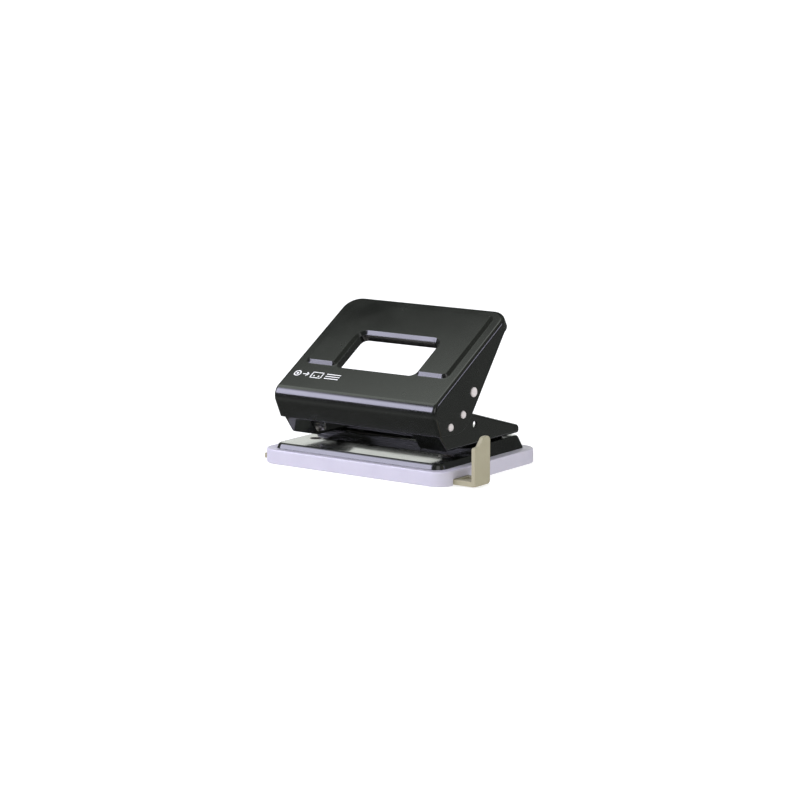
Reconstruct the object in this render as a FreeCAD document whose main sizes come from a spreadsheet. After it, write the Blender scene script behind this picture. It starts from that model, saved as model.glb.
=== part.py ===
import FreeCAD, Part
import math
import os
import Sketcher

# Desktop two-hole punch, millimetres.
# Origin: centre of the chip tray's underside. +X right as the user sees it, +Y away from the
# user, +Z up. The paper goes in from the front (-Y) and stops against the riser of the base plate.

DIMENSIONS = {
    # the hole pattern that the whole punch is built around
    "hole_spacing": 80.0,
    "punch_line": -17.0,
    "hole_size": 5.5,
    "die_clearance": 0.1,
    # chip tray
    "tray_wide": 112.0,
    "tray_deep": 84.0,
    "tray_high": 7.4,
    "tray_corner": 8.5,
    "tray_wall": 1.3,
    "tray_floor": 1.2,
    "tray_lip_high": 1.5,
    "tray_lip_wall": 1.0,
    "tray_rim_wide": 97.6,
    "tray_rim_deep": 72.6,
    "tray_edge": 0.7,
    # channel in the tray's underside and the paper guide that slides in it
    "channel_front": -34.15,
    "channel_back": -20.65,
    "channel_high": 3.4,
    "bar_gap": 0.25,
    "bar_left": -59.7,
    "bar_right": 68.6,
    "bar_bottom": 0.75,
    "bar_top": 3.2,
    "upright_thick": 2.4,
    "upright_low": 19.6,
    "upright_high": 24.3,
    "shoulder_run": 3.6,
    "shoulder_rise": 3.8,
    # pressed base plate
    "sheet": 1.0,
    "plate_wide": 101.8,
    "plate_deep": 76.8,
    "plate_corner": 5.5,
    "plate_lean": 25.0,
    "bed_top": 10.2,
    "deck_top": 13.6,
    "paper_stop": -5.0,
    "plate_edge": 1.6,
    "boss_top": 14.5,
    "boss_radius": 6.0,
    "rivet_across": 36.0,
    "rivet_front": 4.0,
    "rivet_back": 28.0,
    "rivet_radius": 1.6,
    # folded frame that carries the punches and the pivot
    "frame_sheet": 1.2,
    "frame_wide": 95.0,
    "frame_back": 36.6,
    "frame_nose": -33.9,
    "frame_foot": -27.0,
    "frame_bend": 1.5,
    "jaw_gap": 63.0,
    "jaw_gap_top": 22.6,
    "jaw_gap_back": -3.0,
    "pin_clearance": 0.05,
    "jig_hole_y": -3.25,
    "jig_hole_z": 24.65,
    # punch, sleeve, spring and clip at each station
    "bore_clearance": 0.05,
    "sleeve_wall": 0.95,
    "sleeve_high": 5.8,
    "flange_radius": 5.2,
    "flange_thick": 0.8,
    "clip_low": 28.2,
    "clip_thick": 0.7,
    "clip_radius": 4.7,
    "neck_radius": 2.1,
    "washer_radius": 5.0,
    "washer_thick": 0.6,
    "wire": 0.8,
    "coil_radius": 4.5,
    "coil_turns": 6,
    # pivot, press rod and stop rod, all across the lever
    "pivot_y": -26.4,
    "pivot_z": 26.7,
    "rod_arm": 11.6,
    "rod_angle": 23.91,
    "press_angle": 25.0,
    "stop_y": -6.8,
    "stop_z": 41.3,
    "shaft_radius": 1.7,
    # lever shell
    "lever_wide": 98.0,
    "lever_slope": 31.13,
    "crease_y": -37.3,
    "crease_z": 39.6,
    "nose_y": -41.2,
    "nose_z": 35.6,
    "lever_top": 72.7,
    "lever_flange": 5.9,
    "lever_corner": 9.0,
    "lever_bend": 1.8,
    "panel_wide": 86.8,
    "panel_low": 18.5,
    "panel_high": 67.7,
    "panel_rise": 1.5,
    "panel_gap": 0.3,
    "window_wide": 48.2,
    "window_low": 17.9,
    "window_high": 44.1,
    "window_corner": 3.6,
    "window_wall": 3.9,
}


class Size:
    """A number and the sheet formula that gives it."""

    def __init__(self, number, formula=None):
        self.number = float(number)
        self.formula = formula or "(%.6g)" % number

    def joined(self, sign, other, number):
        return Size(number, "(%s%s%s)" % (self.formula, sign, other.formula))

    def __add__(self, other):
        other = as_size(other)
        return self.joined("+", other, self.number + other.number)

    def __sub__(self, other):
        other = as_size(other)
        return self.joined("-", other, self.number - other.number)

    def __mul__(self, other):
        other = as_size(other)
        return self.joined("*", other, self.number * other.number)

    def __truediv__(self, other):
        other = as_size(other)
        return self.joined("/", other, self.number / other.number)

    def __neg__(self):
        return self * -1

    def __rsub__(self, other):
        return as_size(other) - self

    __radd__ = __add__
    __rmul__ = __mul__


def as_size(value):
    return value if isinstance(value, Size) else Size(value)


def cosine(angle):
    return Size(math.cos(math.radians(angle.number)), "cos(%s)" % angle.formula)


def sine(angle):
    return Size(math.sin(math.radians(angle.number)), "sin(%s)" % angle.formula)


def tangent(angle):
    return Size(math.tan(math.radians(angle.number)), "tan(%s)" % angle.formula)


class Dims:
    """The sheet's cells by name: dims.sheet is the cell whose alias is sheet."""

    def __getattr__(self, alias):
        return Size(DIMENSIONS[alias], "Dims.%s" % alias)


def make_sheet(doc):
    sheet = doc.addObject("Spreadsheet::Sheet", "Dims")
    for row, (alias, number) in enumerate(DIMENSIONS.items(), 1):
        sheet.set("A%d" % row, alias)
        sheet.set("B%d" % row, str(number))
        sheet.setAlias("B%d" % row, alias)
    doc.recompute()


doc = FreeCAD.newDocument("hole_punch")
make_sheet(doc)
dims = Dims()
Vector = FreeCAD.Vector
PARTS = []


# ---------------------------------------------------------------- helpers

def bind(thing, path, size):
    """Tie one property of an object to the sheet."""
    thing.setExpression(path, as_size(size).formula)


def place(thing, across=0, deep=0, high=0):
    for letter, size in zip("xyz", (across, deep, high)):
        bind(thing, ".Placement.Base.%s" % letter, size)


def new_body(name, kept=True):
    body = doc.addObject("PartDesign::Body", name)
    body.Label = name
    if kept:
        PARTS.append(body)
    return body


def new_sketch(body, plane, offset=0, turn=0, base=(0, 0)):
    """A sketch on one of the body's origin planes, lifted by offset along the plane's normal.

    base shifts the sketch in the plane, and turn then tilts it about its own X axis."""
    sketch = body.newObject("Sketcher::SketchObject", body.Label + "_outline")
    origin_plane = [o for o in body.Origin.OriginFeatures if o.Role == plane][0]
    sketch.AttachmentSupport = [(origin_plane, "")]
    sketch.MapMode = "FlatFace"
    tilt = FreeCAD.Rotation(Vector(1, 0, 0), as_size(turn).number)
    sketch.AttachmentOffset = FreeCAD.Placement(Vector(0, 0, 0), tilt)
    if as_size(turn).number:
        bind(sketch, ".AttachmentOffset.Rotation.Angle", turn)
    for letter, size in zip("xyz", (base[0], base[1], offset)):
        bind(sketch, ".AttachmentOffset.Base.%s" % letter, size)
    return sketch


def pin_point(sketch, geometry, point, across, up):
    """Lock a point of the sketch to coordinates from the sheet."""
    for kind, axis, size in (("DistanceX", -2, as_size(across)), ("DistanceY", -1, as_size(up))):
        if abs(size.number) < 1e-9:
            sketch.addConstraint(Sketcher.Constraint("PointOnObject", geometry, point, axis))
        else:
            lock = sketch.addConstraint(Sketcher.Constraint(kind, geometry, point, size.number))
            bind(sketch, "Constraints[%d]" % lock, size)


def set_radius(sketch, geometry, radius):
    lock = sketch.addConstraint(Sketcher.Constraint("Radius", geometry, as_size(radius).number))
    bind(sketch, "Constraints[%d]" % lock, radius)


def circle(sketch, across, up, radius):
    centre = Vector(as_size(across).number, as_size(up).number, 0)
    ring = sketch.addGeometry(Part.Circle(centre, Vector(0, 0, 1), as_size(radius).number))
    pin_point(sketch, ring, 3, across, up)
    set_radius(sketch, ring, radius)


def outline(sketch, corners):
    """A closed outline. Each corner is (across, up) or (across, up, rounding)."""
    count = len(corners)
    spots = [Vector(as_size(c[0]).number, as_size(c[1]).number, 0) for c in corners]
    roundings = [c[2] if len(c) > 2 else None for c in corners]
    arrive, leave, arcs = [], [], {}
    for i, spot in enumerate(spots):
        back = (spots[i - 1] - spot).normalize()
        ahead = (spots[(i + 1) % count] - spot).normalize()
        half = back.getAngle(ahead) / 2
        radius = as_size(roundings[i] or 0).number
        arrive.append(spot + back * (radius / math.tan(half)))
        leave.append(spot + ahead * (radius / math.tan(half)))
        if radius:
            centre = spot + (back + ahead).normalize() * (radius / math.sin(half))
            turns_left = ahead.cross(back).z > 0
            first, last = (arrive[i], leave[i]) if turns_left else (leave[i], arrive[i])
            angles = [math.atan2(p.y - centre.y, p.x - centre.x) for p in (first, last)]
            ring = Part.Circle(centre, Vector(0, 0, 1), radius)
            arcs[i] = (Part.ArcOfCircle(ring, angles[0], angles[1]), turns_left)
    lines = [sketch.addGeometry(Part.LineSegment(leave[i], arrive[(i + 1) % count]))
             for i in range(count)]
    for i in range(count):
        before, after = lines[i - 1], lines[i]
        if i in arcs:
            arc = sketch.addGeometry(arcs[i][0])
            start, end = (1, 2) if arcs[i][1] else (2, 1)
            corner = sketch.addGeometry(Part.Point(spots[i]), True)
            sketch.addConstraint([Sketcher.Constraint("Tangent", before, 2, arc, start),
                                  Sketcher.Constraint("Tangent", after, 1, arc, end),
                                  Sketcher.Constraint("PointOnObject", corner, 1, before),
                                  Sketcher.Constraint("PointOnObject", corner, 1, after)])
            pin_point(sketch, corner, 1, corners[i][0], corners[i][1])
            set_radius(sketch, arc, roundings[i])
        else:
            sketch.addConstraint(Sketcher.Constraint("Coincident", before, 2, after, 1))
            pin_point(sketch, after, 1, corners[i][0], corners[i][1])


def rectangle(sketch, left, right, low, high, rounding=None):
    corners = [(left, low), (right, low), (right, high), (left, high)]
    outline(sketch, [c + (rounding,) for c in corners] if rounding else corners)


def add_feature(body, kind, sketch, length, reverse=False, both_ways=False, lean=None):
    """A Pad or a Pocket of a sketch. A positive lean narrows it along its way."""
    feature = body.newObject("PartDesign::" + kind, body.Label + "_" + kind.lower())
    feature.Profile = sketch
    feature.Reversed = reverse
    feature.Midplane = both_ways
    bind(feature, "Length", length)
    if lean is not None:
        feature.TaperAngle = -as_size(lean).number
        bind(feature, "TaperAngle", -as_size(lean))
    doc.recompute()
    return feature


def pad(body, sketch, length, **ways):
    return add_feature(body, "Pad", sketch, length, **ways)


def pocket(body, sketch, length, **ways):
    return add_feature(body, "Pocket", sketch, length, **ways)


def inside(points, low, high):
    """True if every point lies in the box; None leaves that side of the box open."""
    return all((low[k] is None or point[k] >= low[k] - 1e-3)
               and (high[k] is None or point[k] <= high[k] + 1e-3)
               for point in points for k in range(3))


def edges_in(body, low, high, test=None):
    """Names of the body's edges that lie wholly in a box and pass the test."""
    names = []
    for number, edge in enumerate(body.Tip.Shape.Edges, 1):
        if edge.Degenerated:
            continue
        middle = edge.valueAt((edge.FirstParameter + edge.LastParameter) / 2)
        points = [vertex.Point for vertex in edge.Vertexes] + [middle]
        if inside(points, low, high) and (test is None or all(test(p) for p in points)):
            names.append("Edge%d" % number)
    return names


def fillet(body, names, radius):
    base = body.Tip
    feature = body.newObject("PartDesign::Fillet", body.Label + "_fillet")
    feature.Base = (base, names)
    feature.Radius = as_size(radius).number
    bind(feature, "Radius", radius)
    doc.recompute()
    return feature


def revolve(body, sketch, axis, angle=360, kind="Revolution"):
    """Turn a sketch about its own H_Axis or V_Axis."""
    feature = body.newObject("PartDesign::" + kind, body.Label + "_" + kind.lower())
    feature.Profile = sketch
    feature.ReferenceAxis = (sketch, [axis])
    bind(feature, "Angle", angle)
    doc.recompute()
    return feature


def turned(name, corners):
    """A round piece on the Z axis. Each corner of its half section is (radius, height)."""
    body = new_body(name)
    sketch = new_sketch(body, "XZ_Plane")
    outline(sketch, corners)
    revolve(body, sketch, "V_Axis")
    return body


def repeat(body, feature, sketch, axis, length, count):
    """Repeat a feature along one axis of its sketch, over the whole length."""
    row = body.newObject("PartDesign::LinearPattern", body.Label + "_row")
    row.Originals = [feature]
    row.Direction = (sketch, [axis])
    bind(row, "Length", length)
    row.Occurrences = count
    body.Tip = row
    doc.recompute()


def hollow(body, inner):
    """Cut the inner form out of a body, which leaves a folded sheet."""
    cut = body.newObject("PartDesign::Boolean", body.Label + "_hollow")
    cut.Type = "Cut"
    cut.setObjects([inner])
    doc.recompute()


def offset_corners(corners, moves):
    """Move each side of an anticlockwise outline inward by its own amount.

    Side i runs from corner i to the next one. A rounding shrinks or grows with its corner."""
    count = len(corners)
    spots = [Vector(as_size(c[0]).number, as_size(c[1]).number, 0) for c in corners]
    moved = []
    for i, corner in enumerate(corners):
        along = [(spots[i] - spots[i - 1]).normalize(), (spots[(i + 1) % count] - spots[i]).normalize()]
        (px, py), (qx, qy) = [(-way.y, way.x) for way in along]
        det = px * qy - py * qx
        before, after = as_size(moves[i - 1]), as_size(moves[i])
        across = as_size(corner[0]) + before * (qy / det) - after * (py / det)
        up = as_size(corner[1]) - before * (qx / det) + after * (px / det)
        if len(corner) > 2:
            radius = as_size(corner[2])
            moved.append((across, up, radius - before if det > 0 else radius + before))
        else:
            moved.append((across, up))
    return moved


# ---------------------------------------------------------------- chip tray

def make_chip_tray():
    """Push-fit tray: a low front over the guide's channel and a deep bin behind it."""
    body = new_body("chip_tray")
    half_wide, half_deep = dims.tray_wide / 2, dims.tray_deep / 2
    sketch = new_sketch(body, "XY_Plane")
    rectangle(sketch, -half_wide, half_wide, -half_deep, half_deep, dims.tray_corner)
    pad(body, sketch, dims.tray_high)
    for low, high in ((dims.tray_high.number, None), (None, 0)):
        fillet(body, edges_in(body, (None, None, low), (None, None, high)), dims.tray_edge)

    rim_low = dims.tray_high - dims.tray_floor
    inner_wide, inner_deep = half_wide - dims.tray_wall, half_deep - dims.tray_wall
    shelf_back = dims.channel_back + dims.tray_wall
    shelf_top = dims.channel_high + dims.tray_floor
    sketch = new_sketch(body, "XY_Plane", offset=rim_low)
    rectangle(sketch, -inner_wide, inner_wide, -inner_deep, inner_deep, dims.tray_corner - dims.tray_wall)
    pocket(body, sketch, rim_low - shelf_top)
    sketch = new_sketch(body, "XY_Plane", offset=shelf_top)
    bin_corner = dims.tray_wall * 2
    rectangle(sketch, -inner_wide, inner_wide, shelf_back, inner_deep, bin_corner)
    pocket(body, sketch, shelf_top - dims.tray_floor)

    rim_half_wide, rim_half_deep = dims.tray_rim_wide / 2, dims.tray_rim_deep / 2
    lip_wide, lip_deep = rim_half_wide - dims.tray_lip_wall, rim_half_deep - dims.tray_lip_wall
    rim_corner = dims.tray_wall * 2
    lip_corner = rim_corner - dims.tray_lip_wall
    sketch = new_sketch(body, "XY_Plane", offset=dims.tray_high)
    rectangle(sketch, -rim_half_wide, rim_half_wide, -rim_half_deep, rim_half_deep, rim_corner)
    rectangle(sketch, -lip_wide, lip_wide, -lip_deep, lip_deep, lip_corner)
    pad(body, sketch, dims.tray_lip_high)
    sketch = new_sketch(body, "XY_Plane", offset=dims.tray_high)
    rectangle(sketch, -lip_wide, lip_wide, -lip_deep, lip_deep, lip_corner)
    pocket(body, sketch, dims.tray_floor)

    sketch = new_sketch(body, "XY_Plane")
    rectangle(sketch, -dims.tray_wide, dims.tray_wide, dims.channel_front, dims.channel_back)
    pocket(body, sketch, dims.channel_high, reverse=True)
    sketch = new_sketch(body, "XY_Plane")
    relief_wide = inner_wide - dims.tray_wall
    relief_front = -half_deep + dims.tray_wall * 2
    relief_back = dims.channel_front - dims.tray_wall
    rectangle(sketch, -relief_wide, relief_wide, relief_front, relief_back, dims.tray_wall)
    pocket(body, sketch, dims.channel_high, reverse=True)

    tab_long, tab_reach, tab_thick = 12, 1.2, 0.6
    sketch = new_sketch(body, "XY_Plane")
    first = -half_wide + tab_long
    rectangle(sketch, first, first + tab_long, dims.channel_front, dims.channel_front + tab_reach)
    rectangle(sketch, first, first + tab_long, dims.channel_back - tab_reach, dims.channel_back)
    tabs = pad(body, sketch, tab_thick)
    repeat(body, tabs, sketch, "H_Axis", dims.tray_wide - tab_long * 3, 3)

    rib_thick, rib_reach, rib_count = 1, 4, 7
    sketch = new_sketch(body, "XY_Plane", offset=shelf_top)
    span = dims.tray_wide - dims.tray_corner * 2 - rib_reach * 2
    rectangle(sketch, -span / 2, -span / 2 + rib_thick, -inner_deep, -inner_deep + rib_reach)
    rib = pad(body, sketch, rim_low - shelf_top)
    repeat(body, rib, sketch, "H_Axis", span - rib_thick, rib_count)


# ---------------------------------------------------------------- paper guide

def make_paper_guide():
    """Sliding bar with an upright that the paper's edge rests against."""
    body = new_body("paper_guide")
    front, back = dims.channel_front + dims.bar_gap, dims.channel_back - dims.bar_gap
    sketch = new_sketch(body, "XY_Plane", offset=dims.bar_bottom)
    rectangle(sketch, dims.bar_left, dims.bar_right - dims.upright_thick / 2, front, back)
    pad(body, sketch, dims.bar_top - dims.bar_bottom)
    sketch = new_sketch(body, "YZ_Plane", offset=dims.bar_right - dims.upright_thick)
    shoulder = front + dims.shoulder_run
    crest = shoulder + dims.shoulder_rise
    outline(sketch, [(front, dims.bar_bottom, 1.0), (back, dims.bar_bottom, 1.8),
                     (back, dims.upright_high, 2.4), (crest, dims.upright_high, 2.6),
                     (shoulder, dims.upright_low + 0.3, 3.0), (front, dims.upright_low, 1.0)])
    pad(body, sketch, dims.upright_thick)
    outer, end = dims.bar_right.number, dims.bar_left.number
    inner = outer - dims.upright_thick.number
    above_bar = dims.bar_top.number + 1
    soft_edge = 0.5
    for face, low in ((outer, None), (inner, above_bar), (end, None)):
        fillet(body, edges_in(body, (face, None, low), (face, None, None)), soft_edge)

    recess_long, recess_margin, recess_deep = 7, 3.4, 0.7
    sketch = new_sketch(body, "XY_Plane", offset=dims.bar_top)
    recess = dims.bar_right - dims.upright_thick - 1.6
    rectangle(sketch, recess - recess_long, recess, front + recess_margin, back - recess_margin, 0.8)
    pocket(body, sketch, recess_deep)
    notch_pitch, notch_count, notch_wide, notch_deep = 7.5, 9, 1.4, 0.8
    sketch = new_sketch(body, "XY_Plane", offset=dims.bar_top)
    start = dims.bar_left + notch_pitch
    outline(sketch, [(start, back - notch_deep), (start + notch_wide / 2, back + 0.2),
                     (start - notch_wide / 2, back + 0.2)])
    notch = pocket(body, sketch, dims.bar_top - dims.bar_bottom)
    repeat(body, notch, sketch, "H_Axis", notch_pitch * (notch_count - 1), notch_count)


# ---------------------------------------------------------------- base plate and dies

def plate_form(body, inset):
    """The stepped plate as a solid block, with every wall moved inward by inset."""
    lean = dims.plate_lean
    skirt = inset / cosine(lean) - inset * tangent(lean)
    half_wide, half_deep = dims.plate_wide / 2 - skirt, dims.plate_deep / 2 - skirt
    sketch = new_sketch(body, "XY_Plane", offset=dims.tray_high - inset)
    rectangle(sketch, -half_wide, half_wide, -half_deep, half_deep, dims.plate_corner - inset)
    pad(body, sketch, dims.deck_top - dims.tray_high, lean=lean)
    bed, riser, deck = dims.bed_top - inset, dims.paper_stop + inset, dims.deck_top - inset
    sketch = new_sketch(body, "XY_Plane", offset=bed)
    rectangle(sketch, -dims.plate_wide, dims.plate_wide, -dims.plate_deep, riser)
    pocket(body, sketch, dims.deck_top, reverse=True)
    foot = edges_in(body, (None, riser.number, bed.number), (None, riser.number, bed.number))
    rim = edges_in(body, (None, None, bed.number), (None, None, None))
    fillet(body, [name for name in rim if name not in foot], dims.plate_edge - inset)

    sketch = new_sketch(body, "XY_Plane", offset=deck - 0.3)
    for side in (-1, 1):
        for deep in (dims.rivet_front, dims.rivet_back):
            circle(sketch, dims.rivet_across * side, deep, dims.boss_radius - inset * 0.414 + 0.3)
    pad(body, sketch, dims.boss_top - dims.deck_top + 0.3, lean=45)


def make_base_plate():
    """Pressed plate: low bed in front, raised deck behind with four bosses for the frame."""
    inner = new_body("base_plate_inside", kept=False)
    plate_form(inner, dims.sheet)
    body = new_body("base_plate")
    plate_form(body, Size(0))
    hollow(body, inner)
    sketch = new_sketch(body, "XY_Plane", offset=dims.boss_top + 1)
    for side in (-1, 1):
        circle(sketch, dims.hole_spacing / 2 * side, dims.punch_line, dims.hole_size / 2 + 1.25)
        for deep in (dims.rivet_front, dims.rivet_back):
            circle(sketch, dims.rivet_across * side, deep, dims.rivet_radius)
    pocket(body, sketch, dims.tray_high)


def make_dies():
    for side, name in ((-1, "die_left"), (1, "die_right")):
        hole, outer = dims.hole_size / 2 + dims.die_clearance, dims.hole_size / 2 + 1.25
        low = dims.bed_top - 2
        body = turned(name, [(hole, low), (outer, low), (outer, dims.bed_top), (hole, dims.bed_top)])
        place(body, dims.hole_spacing / 2 * side, dims.punch_line)


# ---------------------------------------------------------------- punch frame

def rod_at(angle):
    """Where the press rod stands, in Y and Z, when its arm is at this angle."""
    return dims.pivot_y + dims.rod_arm * cosine(angle), dims.pivot_z + dims.rod_arm * sine(angle)


def make_punch_frame():
    """Folded sheet: a floor riveted to the plate, two side walls and a nose over each punch."""
    wall, bend = dims.frame_sheet, dims.frame_bend
    nose, foot, back, low = dims.frame_nose, dims.frame_foot, dims.frame_back, dims.boss_top
    half_wide = dims.frame_wide / 2
    body = new_body("punch_frame")
    sketch = new_sketch(body, "YZ_Plane")
    tail, chin = low + 4, low + 8.8
    crown = [(-5.06, 30.5, 6), (-12, 35.5, 6), (-22, 36.6, 6), (-30, 34.2, 4)]
    outline(sketch, [(foot, low, bend), (back, low, bend), (back, tail, 2.2)] + crown
            + [(nose, 30.5, 2), (nose, chin, 3)])
    pad(body, sketch, half_wide * 2, both_ways=True)
    floor_edges = []
    for side in (-half_wide.number, half_wide.number):
        floor_edges += edges_in(body, (side, None, low.number), (side, None, low.number))
    fillet(body, floor_edges, bend)

    inner = new_body("punch_frame_inside", kept=False)
    sketch = new_sketch(inner, "YZ_Plane")
    beyond = back * 2
    outline(sketch, offset_corners([(foot, low, bend), (beyond, low), (beyond, beyond), (nose, beyond),
                                    (nose, chin, 3)], [wall, 0, 0, wall, wall]))
    pad(inner, sketch, (half_wide - wall) * 2, both_ways=True)
    hollow(body, inner)

    sketch = new_sketch(body, "XZ_Plane", offset=-dims.jaw_gap_back)
    gap = dims.jaw_gap / 2
    rectangle(sketch, -gap, gap, dims.bed_top, dims.jaw_gap_top, 2)
    pocket(body, sketch, -dims.frame_nose * 2, reverse=True)

    hole = dims.shaft_radius + dims.pin_clearance
    sketch = new_sketch(body, "YZ_Plane")
    circle(sketch, dims.pivot_y, dims.pivot_z, dims.shaft_radius)
    slot = hole + 0.1
    for angle in (dims.rod_angle, dims.rod_angle - dims.press_angle):
        circle(sketch, *rod_at(angle), slot)
    pocket(body, sketch, dims.frame_wide * 2, both_ways=True)
    sketch = new_sketch(body, "XY_Plane", offset=dims.pivot_z, base=(0, dims.pivot_y),
                        turn=dims.rod_angle - dims.press_angle)
    rectangle(sketch, -dims.frame_wide, dims.frame_wide, dims.rod_arm - slot, dims.rod_arm + slot)
    revolve(body, sketch, "H_Axis", angle=dims.press_angle, kind="Groove")
    sketch = new_sketch(body, "YZ_Plane", offset=half_wide - wall * 2)
    circle(sketch, dims.jig_hole_y, dims.jig_hole_z, hole)
    pocket(body, sketch, wall * 3, reverse=True)

    sketch = new_sketch(body, "XY_Plane", offset=dims.boss_top + 2)
    for side in (-1, 1):
        circle(sketch, dims.hole_spacing / 2 * side, dims.punch_line, dims.hole_size / 2 + dims.sleeve_wall)
        for deep in (dims.rivet_front, dims.rivet_back):
            circle(sketch, dims.rivet_across * side, deep, dims.rivet_radius)
    pocket(body, sketch, 4)


# ---------------------------------------------------------------- lever

def lever_top_sketch(body, lift=0):
    """A sketch on the lever's sloping top: X across, Y up the slope from the crease."""
    slope = dims.lever_slope
    return new_sketch(body, "XY_Plane", turn=slope, offset=dims.crease_z + lift * cosine(slope),
                      base=(0, dims.crease_y - lift * sine(slope)))


def lever_form(body, moves, inset):
    """The lever as a solid wedge. moves shifts the sides of its outline, inset its two cheeks."""
    slope = dims.lever_slope
    back_y = dims.crease_y + dims.lever_top * cosine(slope)
    back_z = dims.crease_z + dims.lever_top * sine(slope)
    hem_y = back_y + dims.lever_flange * sine(slope)
    hem_z = back_z - dims.lever_flange * cosine(slope)
    hem = dims.lever_corner + 0.2
    corners = [(-35.2, 23.3), (-14.3, 22.1, 15),
               (hem_y - hem * cosine(slope), hem_z - hem * sine(slope)), (hem_y, hem_z), (back_y, back_z),
               (dims.crease_y, dims.crease_z, 1.6), (dims.nose_y, dims.nose_z, 6.5)]
    half_wide = dims.lever_wide / 2 - inset
    sketch = new_sketch(body, "YZ_Plane")
    outline(sketch, offset_corners(corners, moves))
    pad(body, sketch, half_wide * 2, both_ways=True)
    side = half_wide.number
    behind, above = back_y.number - 1, back_z.number - 1.6
    upright = edges_in(body, (side, behind, None), (side, None, None))
    upright += edges_in(body, (-side, behind, None), (-side, None, None))
    fillet(body, upright, dims.lever_corner - inset)
    fillet(body, edges_in(body, (None, None, above), (None, None, None)), dims.lever_bend - inset)


def raise_panel(body, inset):
    """The pressed-up panel round three sides of the window, with sloping edges."""
    bevel = inset * 0.414
    edge, low, high = dims.panel_wide / 2 - bevel, dims.panel_low + bevel, dims.panel_high - bevel
    leg = dims.window_wide / 2 + dims.panel_gap + bevel
    arch = dims.window_high + dims.panel_gap + bevel
    sketch = lever_top_sketch(body, lift=-inset)
    outline(sketch, [(-edge, low, 3.5), (-leg, low, 2.2), (-leg, arch, 4.5), (leg, arch, 4.5),
                     (leg, low, 2.2), (edge, low, 3.5), (edge, high, 3.5), (-edge, high, 3.5)])
    pad(body, sketch, dims.panel_rise, lean=45)


def window_outline(sketch, margin):
    half, corner = dims.window_wide / 2 + margin, dims.window_corner + margin
    rectangle(sketch, -half, half, dims.window_low - margin, dims.window_high + margin, corner)


def make_lever_shell():
    """Folded and pressed sheet: sloping top with a window, rolled nose and two side cheeks."""
    wall, clear = dims.sheet, Size(-4)
    inner = new_body("lever_shell_inside", kept=False)
    #                  bottom cheek  hem    back  top   nose  front
    lever_form(inner, [clear, clear, clear, wall, wall, wall, wall], wall)
    raise_panel(inner, wall)
    sketch = lever_top_sketch(inner, lift=-dims.window_wall)
    window_outline(sketch, wall)
    pocket(inner, sketch, 12, reverse=True)

    body = new_body("lever_shell")
    lever_form(body, [Size(0)] * 7, Size(0))
    sketch = lever_top_sketch(body, lift=Size(5))
    window_outline(sketch, Size(0))
    pocket(body, sketch, 30)
    rim = dims.window_wide.number / 2
    slope = math.radians(dims.lever_slope.number)
    crease = Vector(0, dims.crease_y.number, dims.crease_z.number)
    upward = Vector(0, -math.sin(slope), math.cos(slope))
    on_top = edges_in(body, (-rim, None, None), (rim, None, None),
                      lambda point: abs((point - crease).dot(upward)) < 1e-3)
    fillet(body, on_top, dims.panel_gap - 0.05)
    raise_panel(body, Size(0))
    hollow(body, inner)

    sketch = new_sketch(body, "YZ_Plane")
    circle(sketch, dims.pivot_y, dims.pivot_z, dims.shaft_radius + dims.pin_clearance)
    circle(sketch, *rod_at(dims.rod_angle), dims.shaft_radius)
    circle(sketch, dims.stop_y, dims.stop_z, dims.shaft_radius + dims.pin_clearance)
    pocket(body, sketch, dims.lever_wide * 2, both_ways=True)
    sketch = new_sketch(body, "XZ_Plane", offset=-dims.crease_y / 2)
    circle(sketch, 0, 23.2, 1.2)
    pocket(body, sketch, 30, reverse=True)


# ---------------------------------------------------------------- rods, punches and springs

def make_rod(name, radius, head_radius, deep, high):
    """A rod through both cheeks of the lever, with a rounded head outside each."""
    body = new_body(name)
    reach = dims.lever_wide / 2 + dims.pin_clearance
    end, dome = reach + 0.8, 0.72
    sketch = new_sketch(body, "XZ_Plane")
    outline(sketch, [(-end, 0), (end, 0), (end, head_radius, dome), (reach, head_radius), (reach, radius),
                     (-reach, radius), (-reach, head_radius), (-end, head_radius, dome)])
    revolve(body, sketch, "H_Axis")
    place(body, 0, deep, high)


def make_rods():
    shaft = dims.shaft_radius
    make_rod("pivot_shaft", shaft, shaft + 0.2, dims.pivot_y, dims.pivot_z)
    make_rod("press_rod", shaft, shaft + 0.2, *rod_at(dims.rod_angle))
    make_rod("stop_rod", shaft + dims.pin_clearance, shaft + 0.75, dims.stop_y, dims.stop_z)


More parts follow.
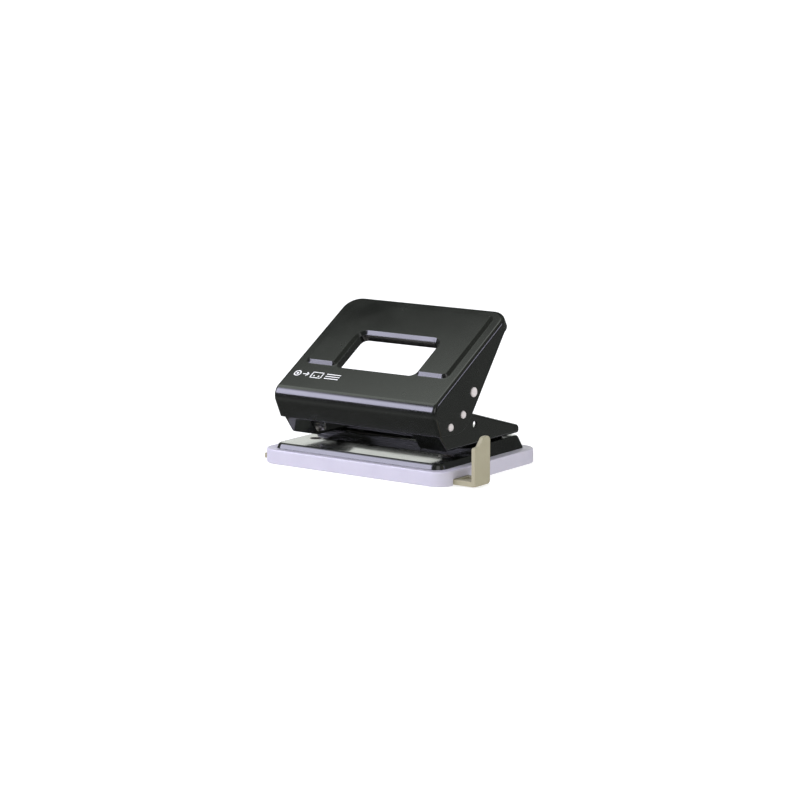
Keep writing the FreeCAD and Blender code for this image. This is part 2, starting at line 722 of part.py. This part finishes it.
def make_punch(side, ending):
    """One punch with its sleeve, spring, washer and clip, all on one upright axis."""
    station = (dims.hole_spacing / 2 * side, dims.punch_line)
    bottom, floor = dims.boss_top, dims.boss_top + dims.frame_sheet
    pin = dims.hole_size / 2
    bore, sleeve = pin + dims.bore_clearance, pin + dims.sleeve_wall
    flange, flange_top, sleeve_top = dims.flange_radius, floor + dims.flange_thick, floor + dims.sleeve_high
    place(turned("guide_sleeve_" + ending,
                 [(bore, bottom), (sleeve, bottom), (sleeve, floor), (flange, floor), (flange, flange_top),
                  (sleeve, flange_top), (sleeve, sleeve_top, 0.4), (bore, sleeve_top)]), *station)

    neck, groove, groove_top = dims.neck_radius, dims.clip_low, dims.clip_low + dims.clip_thick
    tip = bottom - 0.1
    top = rod_at(dims.rod_angle)[1] - dims.shaft_radius - 0.03
    punch = turned("punch_pin_" + ending,
                   [(0, tip), (pin, tip), (pin, groove), (neck, groove), (neck, groove_top),
                    (pin, groove_top), (pin, top, 0.75), (0, top)])
    sketch = new_sketch(punch, "XZ_Plane")
    outline(sketch, [(-pin * 1.5, tip - 0.2), (pin * 1.5, tip - 0.2), (0, tip + 0.6)])
    pocket(punch, sketch, pin * 4, both_ways=True)
    place(punch, *station)

    washer_low, washer_bore = groove - dims.washer_thick, bore + dims.bore_clearance
    place(turned("spring_washer_" + ending,
                 [(washer_bore, washer_low), (dims.washer_radius, washer_low),
                  (dims.washer_radius, groove), (washer_bore, groove)]), *station)
    make_clip(ending, station)
    make_spring(ending, station, flange_top, washer_low)


def make_clip(ending, station):
    """E-clip in the punch's groove, open towards the back."""
    neck, mouth_half, ear = dims.neck_radius, dims.neck_radius * 0.8, 0.7
    clip = new_body("e_clip_" + ending)
    sketch = new_sketch(clip, "XY_Plane", offset=dims.clip_low)
    circle(sketch, 0, 0, dims.clip_radius)
    pad(clip, sketch, dims.clip_thick)
    sketches = [new_sketch(clip, "XY_Plane", offset=dims.clip_low + 1) for cut in range(3)]
    rectangle(sketches[0], -mouth_half, mouth_half, 0.4, dims.clip_radius * 1.3)
    circle(sketches[1], 0, 0, neck)
    for across in (-1, 1):
        circle(sketches[2], neck * 1.25 * across, neck * 0.85, ear)
    for sketch in sketches:
        pocket(clip, sketch, 2)
    place(clip, *station)


def make_spring(ending, station, low, high):
    """Open coil between the sleeve's flange and the washer."""
    spring = new_body("return_spring_" + ending)
    sketch = new_sketch(spring, "XZ_Plane")
    circle(sketch, dims.coil_radius, low + dims.wire / 2, dims.wire / 2)
    coil = spring.newObject("PartDesign::AdditiveHelix", spring.Label + "_coil")
    coil.Profile = sketch
    coil.ReferenceAxis = (sketch, ["V_Axis"])
    coil.Mode = "pitch-height-angle"
    rise = high - low - dims.wire
    for path, size in (("Height", rise), ("Pitch", rise / dims.coil_turns)):
        setattr(coil, path, size.number)
        bind(coil, path, size)
    doc.recompute()
    place(spring, *station)


def make_rivets():
    """Four rivets that hold the frame to the bosses: domed above, clinched below."""
    floor, under = dims.boss_top + dims.frame_sheet, dims.boss_top - dims.sheet
    shank, head, clinch = dims.rivet_radius, 3, 2.5
    head_top, clinch_low = floor + 1.2, under - 0.8
    spots = [(side, deep) for deep in (dims.rivet_front, dims.rivet_back) for side in (-1, 1)]
    for number, (side, deep) in enumerate(spots, 1):
        rivet = turned("frame_rivet_%d" % number,
                       [(0, clinch_low), (clinch, clinch_low, 0.4), (clinch, under), (shank, under),
                        (shank, floor), (head, floor), (head, head_top, 1.1), (0, head_top)])
        place(rivet, dims.rivet_across * side, deep)


# ---------------------------------------------------------------- build, check and write

def make_all():
    make_chip_tray()
    make_paper_guide()
    make_base_plate()
    make_dies()
    make_punch_frame()
    make_lever_shell()
    make_rods()
    for side, ending in ((-1, "left"), (1, "right")):
        make_punch(side, ending)
    make_rivets()
    doc.recompute()


def check_all():
    for thing in doc.Objects:
        if "Invalid" in thing.State or "Error" in thing.State:
            raise RuntimeError("%s failed: %s" % (thing.Label, thing.State))
    for part in PARTS:
        if part.Shape.isNull() or not part.Shape.isValid() or len(part.Shape.Solids) != 1:
            raise RuntimeError("%s has no single valid solid" % part.Label)


def write_all():
    os.makedirs("parts", exist_ok=True)
    for part in PARTS:
        part.Shape.exportStep("parts/%s.step" % part.Label)
        box = part.Shape.optimalBoundingBox()
        ends = (box.XMin, box.XMax, box.YMin, box.YMax, box.ZMin, box.ZMax)
        print("%-22s %9.1f mm3  X %6.1f %6.1f  Y %6.1f %6.1f  Z %5.1f %5.1f"
              % ((part.Label, part.Shape.Volume) + ends))


make_all()
check_all()
write_all()
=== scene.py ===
"""Desktop two-hole punch: the finished look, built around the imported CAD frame.

Metres, in the CAD frame: +X to the user's right, +Y away from the user, +Z up, desk at Z = 0."""
import math

import bmesh
import bpy
from mathutils import Matrix, Vector


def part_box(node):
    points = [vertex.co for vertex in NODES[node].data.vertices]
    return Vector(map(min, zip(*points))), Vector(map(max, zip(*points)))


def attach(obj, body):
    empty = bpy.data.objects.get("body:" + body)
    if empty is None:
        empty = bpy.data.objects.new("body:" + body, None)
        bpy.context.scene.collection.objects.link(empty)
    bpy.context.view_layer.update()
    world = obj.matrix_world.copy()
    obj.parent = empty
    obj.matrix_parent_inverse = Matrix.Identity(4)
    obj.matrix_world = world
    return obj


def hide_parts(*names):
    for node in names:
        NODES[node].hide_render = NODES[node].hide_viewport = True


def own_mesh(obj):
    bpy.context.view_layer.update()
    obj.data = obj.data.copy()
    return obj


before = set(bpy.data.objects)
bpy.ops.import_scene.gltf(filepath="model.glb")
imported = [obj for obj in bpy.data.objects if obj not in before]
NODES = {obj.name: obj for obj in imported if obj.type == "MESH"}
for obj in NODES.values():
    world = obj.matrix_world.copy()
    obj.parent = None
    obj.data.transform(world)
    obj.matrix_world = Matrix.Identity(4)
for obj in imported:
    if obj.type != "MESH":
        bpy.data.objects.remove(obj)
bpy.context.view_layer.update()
MM = 0.001
ENDINGS = ("left", "right")

# the lever's sloping top: a point of its crease, and the slope's angle
CREASE = Vector((0, -37.3, 39.6)) * MM
SLOPE = math.radians(31.13)

# where the camera stands, seen from the desk under the middle of the punch, and how far above that it looks
AZIMUTH, ELEVATION, DISTANCE = math.radians(35.74), math.radians(11.23), 1.420
AIM_RISE = 30.92 * MM
LENS = 127.5

# what the lights face, and how far the print stands off the lever
LIGHT_AIM = Vector((0, 0, 30)) * MM
PRINT_LIFT = 0.03


# ---------------------------------------------------------------- material helpers

class Nodes:
    """One material's node tree, with short calls to add nodes and join them."""

    def __init__(self, name):
        self.material = bpy.data.materials.new(name)
        self.material.use_nodes = True
        self.tree = self.material.node_tree
        self.shader = self.tree.nodes["Principled BSDF"]
        self.where = self.add("ShaderNodeTexCoord").outputs["Object"]

    def add(self, kind, **settings):
        node = self.tree.nodes.new(kind)
        for name, value in settings.items():
            setattr(node, name, value)
        return node

    def join(self, source, target):
        self.tree.links.new(source, target)

    def put(self, node, **values):
        """Set a node's inputs; a socket is joined and anything else becomes its value."""
        for name, value in values.items():
            target = node.inputs[name.replace("_", " ")]
            if isinstance(value, bpy.types.NodeSocket):
                self.join(value, target)
            else:
                target.default_value = value
        return node

    def stretched(self, scale):
        """Object coordinates scaled per axis."""
        mapping = self.add("ShaderNodeMapping")
        self.put(mapping, Vector=self.where, Scale=scale)
        return mapping.outputs["Vector"]

    def noise(self, size, detail=3.0, roughness=0.5, stretch=None):
        """Noise whose blobs are about size metres across; a value from 0 to 1."""
        where = self.stretched(stretch) if stretch else self.where
        node = self.add("ShaderNodeTexNoise")
        self.put(node, Vector=where, Scale=1 / size, Detail=detail, Roughness=roughness)
        return node.outputs["Fac"]

    def span(self, value, low, high, start=0.0, end=1.0):
        """Map a value that runs from start to end onto low to high."""
        node = self.add("ShaderNodeMapRange")
        self.put(node, Value=value, From_Min=start, From_Max=end, To_Min=low, To_Max=high)
        return node.outputs["Result"]

    def mix(self, factor, first, second):
        node = self.add("ShaderNodeMix", data_type="RGBA")
        for index, value in ((6, first), (7, second)):
            if isinstance(value, bpy.types.NodeSocket):
                self.join(value, node.inputs[index])
            else:
                node.inputs[index].default_value = (*value, 1)
        if isinstance(factor, bpy.types.NodeSocket):
            self.join(factor, node.inputs[0])
        else:
            node.inputs[0].default_value = factor
        return node.outputs[2]

    def maths(self, operation, first, second=0.0):
        node = self.add("ShaderNodeMath", operation=operation)
        for index, value in enumerate((first, second)):
            if isinstance(value, bpy.types.NodeSocket):
                self.join(value, node.inputs[index])
            else:
                node.inputs[index].default_value = value
        return node.outputs[0]

    def relief(self, height, depth, soften=0.0):
        """Bump from a height; soften rounds sharp edges by that radius first."""
        bump = self.add("ShaderNodeBump")
        self.put(bump, Height=height, Distance=depth, Strength=1.0)
        if soften:
            bevel = self.add("ShaderNodeBevel", samples=6)
            self.put(bevel, Radius=soften)
            self.join(bevel.outputs["Normal"], bump.inputs["Normal"])
        return bump.outputs["Normal"]


# ---------------------------------------------------------------- materials

def black_lacquer():
    """Stoved black lacquer: deep gloss, a slight orange peel, faint smears and dust."""
    n = Nodes("black_lacquer")
    smear = n.noise(0.018, detail=4.0, roughness=0.6)
    dust = n.span(n.noise(0.0006, detail=1.0), 0.0, 1.0, 0.72, 0.78)
    colour = n.mix(smear, (0.0028, 0.0032, 0.0028), (0.0065, 0.0072, 0.0060))
    colour = n.mix(n.maths("MULTIPLY", dust, 0.10), colour, (0.10, 0.10, 0.10))
    peel = n.maths("ADD", n.noise(0.0016, detail=1.0), n.noise(0.006, detail=1.0))
    n.put(n.shader, Base_Color=colour, Roughness=n.span(smear, 0.16, 0.28, 0.3, 0.7),
          Specular_IOR_Level=0.5, Coat_Weight=1.0, Coat_IOR=1.5,
          Coat_Roughness=n.span(smear, 0.05, 0.10, 0.3, 0.7),
          Normal=n.relief(peel, 0.000002, soften=0.0003),
          Coat_Normal=n.relief(peel, 0.0000012, soften=0.0003))
    return n.material


def bright_steel(name, stretch, tone=(0.78, 0.75, 0.73), rough=0.16, metal=1.0):
    """Plated steel with fine lines along the stretched axis; less metal reads as a paler, duller plating."""
    n = Nodes(name)
    lines = n.noise(0.0004, detail=4.0, roughness=0.7, stretch=stretch)
    stain = n.noise(0.004, detail=3.0)
    shade = tuple(c * 0.82 for c in tone)
    n.put(n.shader, Base_Color=n.mix(stain, shade, tone), Metallic=metal,
          Roughness=n.span(lines, rough * 0.7, rough * 1.7, 0.25, 0.75),
          Normal=n.relief(lines, 0.000004, soften=0.00012))
    return n.material


def tray_plastic():
    """Milky polypropylene, slightly violet: light glows through its thin walls."""
    n = Nodes("tray_plastic")
    cloud = n.noise(0.010, detail=3.0, roughness=0.6, stretch=(1, 1, 0.12))
    grain = n.noise(0.0005, detail=2.0)
    n.put(n.shader, Base_Color=n.mix(cloud, (0.46, 0.445, 0.52), (0.52, 0.50, 0.57)),
          Roughness=n.span(cloud, 0.28, 0.42, 0.3, 0.7), IOR=1.49,
          Subsurface_Weight=0.35, Subsurface_Radius=(0.9, 0.85, 1.0), Subsurface_Scale=0.0022,
          Normal=n.relief(grain, 0.000008, soften=0.0003))
    return n.material


def guide_plastic():
    """Khaki moulded plastic with a fine spark-eroded grain."""
    n = Nodes("guide_plastic")
    grain = n.noise(0.00045, detail=3.0, roughness=0.6)
    cloud = n.noise(0.009, detail=3.0)
    colour = n.mix(cloud, (0.30, 0.275, 0.19), (0.355, 0.33, 0.235))
    n.put(n.shader, Base_Color=colour, Roughness=n.span(grain, 0.42, 0.6, 0.3, 0.7), Specular_IOR_Level=0.25,
          Normal=n.relief(grain, 0.00002, soften=0.0003))
    return n.material


def white_print():
    """Screen-printed white ink: nearly flat, a little uneven in cover."""
    n = Nodes("white_print")
    cover = n.noise(0.0007, detail=3.0)
    n.put(n.shader, Base_Color=n.mix(cover, (0.78, 0.78, 0.77), (0.92, 0.92, 0.91)),
          Roughness=n.span(cover, 0.35, 0.5), Coat_Weight=0.4, Coat_Roughness=0.1)
    return n.material


def paint(material, *names):
    """Give CAD nodes a material in place of their own."""
    for name in names:
        slots = NODES[name].data.materials
        slots.clear()
        slots.append(material)


def paint_nodes():
    """Finish every CAD node that stays, with fine lines along the rods and the punches."""
    paint(black_lacquer(), "lever_shell", "punch_frame", "base_plate")
    along_x, along_z = (0.02, 1, 1), (1, 1, 0.02)
    even = (1, 1, 1)
    rod = bright_steel("rod_steel", along_x, tone=(0.86, 0.80, 0.79), rough=0.3, metal=0.25)
    paint(rod, "pivot_shaft", "press_rod", "stop_rod")
    paint(bright_steel("punch_steel", along_z, rough=0.12), *["punch_pin_" + ending for ending in ENDINGS])
    ring = bright_steel("ring_steel", even, rough=0.22)
    for kind in ("die_", "guide_sleeve_", "spring_washer_", "e_clip_"):
        paint(ring, *[kind + ending for ending in ENDINGS])
    rivet = bright_steel("rivet_steel", even, tone=(0.60, 0.60, 0.62), rough=0.3)
    paint(rivet, *["frame_rivet_%d" % number for number in (1, 2, 3, 4)])
    paint(tray_plastic(), "chip_tray")
    paint(guide_plastic(), "paper_guide")


# ---------------------------------------------------------------- mesh helpers

def finished(name, work, material):
    """Turn a bmesh into an object in the scene, shaded smooth."""
    mesh = bpy.data.meshes.new(name)
    work.to_mesh(mesh)
    work.free()
    mesh.materials.append(material)
    mesh.shade_smooth()
    result = bpy.data.objects.new(name, mesh)
    bpy.context.scene.collection.objects.link(result)
    return result


def new_piece(name, work, material, body):
    """A mesh object from a bmesh, riding on a CAD body."""
    piece = finished(name, work, material)
    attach(piece, body)
    return piece


def tube(work, points, radius, sides=12):
    """Skin a closed-ended tube round a list of points."""
    rings = []
    for i, point in enumerate(points):
        ahead = (points[min(i + 1, len(points) - 1)] - points[max(i - 1, 0)]).normalized()
        across = ahead.cross(Vector((0, 0, 1))).normalized()
        upward = ahead.cross(across)
        ring = []
        for k in range(sides):
            angle = math.tau * k / sides
            outward = math.cos(angle) * across + math.sin(angle) * upward
            ring.append(work.verts.new(point + radius * outward))
        rings.append(ring)
    for first, second in zip(rings, rings[1:]):
        for k in range(sides):
            following = (k + 1) % sides
            work.faces.new((first[k], first[following], second[following], second[k]))
    work.faces.new(list(reversed(rings[0])))
    work.faces.new(rings[-1])


def return_spring(ending):
    """Compression spring with closed end turns, in the space of its CAD node."""
    node = "return_spring_" + ending
    low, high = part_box(node)
    centre = (low + high) / 2
    wire, turns, steps = 0.4 * MM, 7.5, 40
    radius = (high.x - low.x) / 2 - wire
    rise = high.z - low.z - 2 * wire
    # the first and the last turn each climb by not quite the wire's thickness
    end_share, end_rise = 1 / turns, 0.9 * 2 * wire / rise
    points = []
    for step in range(int(turns * steps) + 1):
        share = step / (turns * steps)
        angle = math.tau * turns * share
        if share < end_share:
            height = end_rise * share / end_share
        elif share > 1 - end_share:
            height = 1 - end_rise * (1 - share) / end_share
        else:
            height = end_rise + (1 - 2 * end_rise) * (share - end_share) / (1 - 2 * end_share)
        points.append(Vector((centre.x + radius * math.cos(angle), centre.y + radius * math.sin(angle),
                              low.z + wire + rise * height)))
    work = bmesh.new()
    tube(work, points, wire)
    piece = new_piece("spring_coil_" + ending, work, SPRING_STEEL, "base")
    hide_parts(node)
    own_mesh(piece)


def on_lever(across, up, lift):
    """A point on the lever's top: across from the middle, up the slope from the crease."""
    along = Vector((0, math.cos(SLOPE), math.sin(SLOPE)))
    out = Vector((0, -math.sin(SLOPE), math.cos(SLOPE)))
    return CREASE + Vector((across, 0, 0)) * MM + along * up * MM + out * lift * MM


def stroke(work, points, wide):
    """A flat printed line through points given as (across, up), on the lever's top."""
    for (x0, y0), (x1, y1) in zip(points, points[1:]):
        length = math.hypot(x1 - x0, y1 - y0)
        ax, ay = (x1 - x0) / length * wide / 2, (y1 - y0) / length * wide / 2
        corners = [(x0 - ax + ay, y0 - ay - ax), (x1 + ax + ay, y1 + ay - ax),
                   (x1 + ax - ay, y1 + ay + ax), (x0 - ax - ay, y0 - ay + ax)]
        work.faces.new([work.verts.new(on_lever(x, y, PRINT_LIFT)) for x, y in corners])


def circle(work, across, up, radius, sides):
    """Points evenly round a circle on the lever's top."""
    points = []
    for k in range(sides):
        turn = math.tau * k / sides
        x, y = across + radius * math.cos(turn), up + radius * math.sin(turn)
        points.append(work.verts.new(on_lever(x, y, PRINT_LIFT)))
    return points


def dot(work, across, up, radius, sides=32):
    """A printed disc."""
    work.faces.new(circle(work, across, up, radius, sides))


def band(work, across, up, outer, inner, sides=32):
    """A printed ring."""
    first = circle(work, across, up, outer, sides)
    second = circle(work, across, up, inner, sides)
    for k in range(sides):
        following = (k + 1) % sides
        work.faces.new((first[k], first[following], second[following], second[k]))


def print_pictogram():
    """A white sign on the lever: a punch mark, an arrow, a sheet with two holes and three lines.

    Its sizes are millimetres across from the middle of the lever and up from its crease."""
    work = bmesh.new()
    middle = 10.2
    mark, tail, tip = -42.2, -38.6, -35.4
    band(work, mark, middle, 2.1, 1.45)
    dot(work, mark, middle, 0.7)
    stroke(work, [(tail, middle), (tip, middle)], 0.6)
    stroke(work, [(tip - 1.1, middle + 1.1), (tip, middle), (tip - 1.1, middle - 1.1)], 0.6)
    left, right, low, high = -33.4, -27.0, middle - 2.0, middle + 2.0
    stroke(work, [(left, low), (right, low), (right, high), (left, high), (left, low)], 0.5)
    for across in (left + 1.8, right - 1.8):
        dot(work, across, middle - 0.7, 0.5, sides=20)
    for up in (middle - 1.6, middle, middle + 1.6):
        stroke(work, [(-24.6, up), (-16.6, up)], 0.55)
    new_piece("lever_pictogram", work, WHITE_PRINT, "lever")


# ---------------------------------------------------------------- camera, lights and stage

def add_camera():
    """The photographer's eye: a long lens in front, to the right and a little above."""
    back = Vector((math.sin(AZIMUTH) * math.cos(ELEVATION), -math.cos(AZIMUTH) * math.cos(ELEVATION),
                   math.sin(ELEVATION)))
    upward = Vector((-math.sin(AZIMUTH) * math.sin(ELEVATION), math.cos(AZIMUTH) * math.sin(ELEVATION),
                     math.cos(ELEVATION)))
    camera = bpy.data.objects.new("camera", bpy.data.cameras.new("camera"))
    bpy.context.scene.collection.objects.link(camera)
    camera.data.lens = LENS
    camera.data.clip_end = 60
    camera.location = back * DISTANCE
    aim = upward * AIM_RISE
    camera.rotation_euler = (aim - camera.location).to_track_quat("-Z", "Y").to_euler()
    bpy.context.scene.camera = camera


def soft_box(name, towards, size, distance, radiance, colour=(1, 1, 1), shiny=True):
    """A rectangular studio light that faces the punch; radiance is its brightness in a mirror."""
    light = bpy.data.lights.new(name, "AREA")
    light.shape = "RECTANGLE"
    light.size, light.size_y = size
    light.energy = radiance * math.pi * size[0] * size[1]
    light.color = colour
    lamp = bpy.data.objects.new(name, light)
    lamp.location = LIGHT_AIM + Vector(towards).normalized() * distance
    lamp.rotation_euler = (LIGHT_AIM - lamp.location).to_track_quat("-Z", "Y").to_euler()
    lamp.visible_glossy = shiny
    bpy.context.scene.collection.objects.link(lamp)


def around(turn, rise):
    """The direction to a light: turn in degrees left of the front, rise above the desk."""
    turn, rise = math.radians(turn), math.radians(rise)
    return (-math.sin(turn) * math.cos(rise), -math.cos(turn) * math.cos(rise), math.sin(rise))


def glow_card(name, towards, distance, half, colour, brighter, levels, reach):
    """A square card that only shows in the punch's sheen.

    It glows from levels[0] to levels[1] between the two places in reach, measured from its middle
    along the direction brighter."""
    towards = Vector(towards).normalized()
    n = Nodes(name)
    parts = n.add("ShaderNodeSeparateXYZ")
    n.join(n.where, parts.inputs["Vector"])
    glow = n.span(parts.outputs["X"], *levels, *reach)
    n.put(n.shader, Base_Color=(0, 0, 0, 1), Specular_IOR_Level=0.0, Emission_Color=(*colour, 1),
          Emission_Strength=glow)
    work = bmesh.new()
    bmesh.ops.create_grid(work, x_segments=1, y_segments=1, size=half)
    card = finished(name, work, n.material)
    across = Vector(brighter)
    across = (across - towards * across.dot(towards)).normalized()
    axes = Matrix((across, towards.cross(across), towards)).transposed().to_4x4()
    card.matrix_world = Matrix.Translation(LIGHT_AIM + towards * distance) @ axes
    for way in ("camera", "diffuse", "shadow", "transmission"):
        setattr(card, "visible_" + way, False)


def add_lights():
    """Lavender boxes in front and behind the right side, a white card behind and two cards for sheen."""
    lavender, white, olive = (0.80, 0.79, 1.0), (0.97, 1.0, 0.95), (0.93, 1.0, 0.92)
    soft_box("front_box", around(43, 35.5), (0.78, 1.06), 1.3, 5.6, lavender, shiny=False)
    glow_card("front_glow", around(44, 31), 1.3, 0.42, lavender,
              brighter=(0, 0, -1), levels=(0.0, 6.5), reach=(-0.42, -0.16))
    soft_box("back_card", around(144, 13), (1.3, 0.4), 1.6, 1.05, white)
    soft_box("right_card", around(-120, 21), (0.42, 0.36), 1.4, 3.0, lavender)
    soft_box("right_fill", around(-55, 25), (1.2, 1.0), 1.8, 0.9)
    soft_box("top_fill", (0, -0.1, 1), (1.5, 1.5), 1.8, 0.7, shiny=False)
    # the lever's sloping top mirrors the camera's view to this card
    glow_card("top_glow", (-0.573, 0.198, 0.795), 0.8, 0.42, olive,
              brighter=(0.49, -0.87, 0), levels=(0.03, 1.15), reach=(-0.044, 0.086))


def add_world():
    """Dim studio: grey-green below the desk's edge, dark round the horizon, olive overhead."""
    world = bpy.data.worlds.new("studio")
    bpy.context.scene.world = world
    world.use_nodes = True
    tree = world.node_tree
    where = tree.nodes.new("ShaderNodeTexCoord")
    split = tree.nodes.new("ShaderNodeSeparateXYZ")
    raise_z = tree.nodes.new("ShaderNodeMapRange")
    raise_z.inputs["From Min"].default_value = -1
    ramp = tree.nodes.new("ShaderNodeValToRGB")
    tree.links.new(where.outputs["Generated"], split.inputs["Vector"])
    tree.links.new(split.outputs["Z"], raise_z.inputs["Value"])
    tree.links.new(raise_z.outputs["Result"], ramp.inputs["Fac"])
    tree.links.new(ramp.outputs["Color"], tree.nodes["Background"].inputs["Color"])
    # from straight down, at 0, through the horizon, at 0.5, to nearly overhead
    steps = ramp.color_ramp.elements
    steps[0].color = (0.10, 0.11, 0.10, 1)
    steps[1].position = 0.95
    steps[1].color = (0.20, 0.22, 0.19, 1)
    for position, level in ((0.15, 0.12), (0.28, 0.30), (0.38, 0.17), (0.52, 0.09), (0.75, 0.09)):
        steps.new(position).color = (level * 0.95, level, level * 0.95, 1)


def add_floor():
    """A round white studio floor that curves up into a wall on every side."""
    n = Nodes("studio_white")
    cloud = n.noise(0.5, detail=2.0)
    n.put(n.shader, Base_Color=n.mix(cloud, (0.50, 0.50, 0.50), (0.52, 0.52, 0.52)), Roughness=0.9,
          Specular_IOR_Level=0.0, Emission_Color=(1, 1, 1, 1), Emission_Strength=0.66)
    middle, flat, curve, high, sides, steps = 0.02, 3.0, 1.2, 5.0, 96, 12
    profile = [(middle, 0.0), (flat, 0.0)]
    for step in range(1, steps + 1):
        angle = math.pi / 2 * step / steps
        profile.append((flat + curve * math.sin(angle), curve * (1 - math.cos(angle))))
    profile.append((flat + curve, high))
    turns = [math.tau * k / sides for k in range(sides)]
    work = bmesh.new()
    rings = [[work.verts.new((radius * math.cos(turn), radius * math.sin(turn), z)) for turn in turns]
             for radius, z in profile]
    work.faces.new(rings[0])
    for first, second in zip(rings, rings[1:]):
        for k in range(sides):
            following = (k + 1) % sides
            work.faces.new((first[k], second[k], second[following], first[following]))
    floor = finished("studio_floor", work, n.material)
    floor.visible_glossy = False


# ---------------------------------------------------------------- build

SPRING_STEEL = bright_steel("spring_steel", (1, 1, 1), tone=(0.42, 0.42, 0.43), rough=0.3)
WHITE_PRINT = white_print()

paint_nodes()
for ending in ENDINGS:
    return_spring(ending)
print_pictogram()
add_camera()
add_world()
add_lights()
add_floor()
bpy.context.scene.view_settings.view_transform = "Standard"
